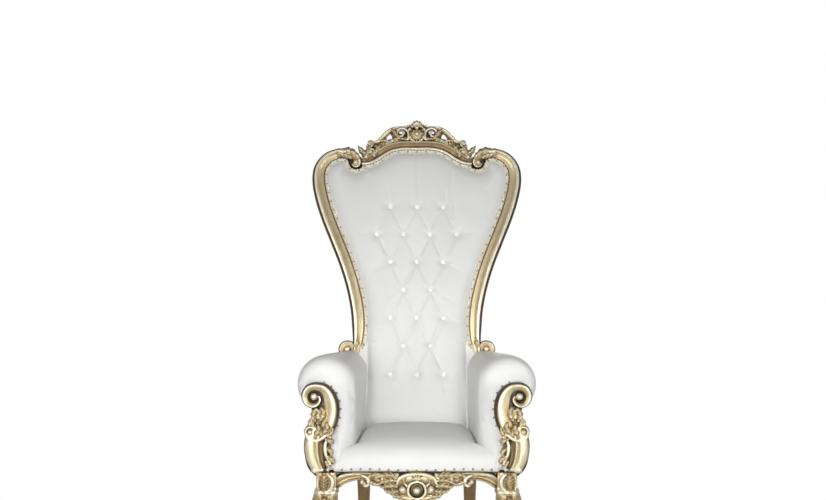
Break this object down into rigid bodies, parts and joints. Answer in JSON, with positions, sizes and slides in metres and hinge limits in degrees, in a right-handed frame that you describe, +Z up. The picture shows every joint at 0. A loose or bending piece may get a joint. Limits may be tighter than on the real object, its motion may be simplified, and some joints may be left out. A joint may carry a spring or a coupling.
{
  "type": "throne chair",
  "caption": "High-backed throne chair with a carved and gilded frame, a tufted back with crystal buttons, rolled arms and a domed seat.",
  "frame": {"origin": "on the floor, under the middle of the chair's bounding box", "axes": "+Z up, -Y to the front where the sitter faces, +X to the right as seen from the front"},
  "size_m": [0.873, 0.7901, 1.8058],
  "materials": {
    "gilt_wood": "antique champagne-gold leaf over carved wood, browned in the hollows and dark at the outer edges",
    "leather": "white leatherette, satin, fine grain",
    "trim": "cream gimp strip set with small brass nails",
    "crystal": "clear faceted crystal",
    "board": "plain plywood"
  },
  "bodies": {
    "root": {"crest_rail": "gilt_wood", "back_stile_right": "gilt_wood", "back_stile_left": "gilt_wood", "inside_back": "leather", "outside_back": "leather", "back_trim": "trim", "crystal_button_01": "crystal", "crystal_button_02": "crystal", "crystal_button_03": "crystal", "crystal_button_04": "crystal", "crystal_button_05": "crystal", "crystal_button_06": "crystal", "crystal_button_07": "crystal", "crystal_button_08": "crystal", "crystal_button_09": "crystal", "crystal_button_10": "crystal", "crystal_button_11": "crystal", "crystal_button_12": "crystal", "crystal_button_13": "crystal", "crystal_button_14": "crystal", "crystal_button_15": "crystal", "crystal_button_16": "crystal", "crystal_button_17": "crystal", "crystal_button_18": "crystal", "crystal_button_19": "crystal", "crystal_button_20": "crystal", "arm_post_right": "gilt_wood", "arm_post_left": "gilt_wood", "arm_pad_right": "leather", "arm_pad_left": "leather", "front_leg_right": "gilt_wood", "front_leg_left": "gilt_wood", "back_leg_right": "gilt_wood", "back_leg_left": "gilt_wood", "side_rail_right": "gilt_wood", "side_rail_left": "gilt_wood", "front_rail": "gilt_wood", "back_rail": "gilt_wood", "seat_board": "board", "seat_cushion": "leather"}
  },
  "joints": []
}
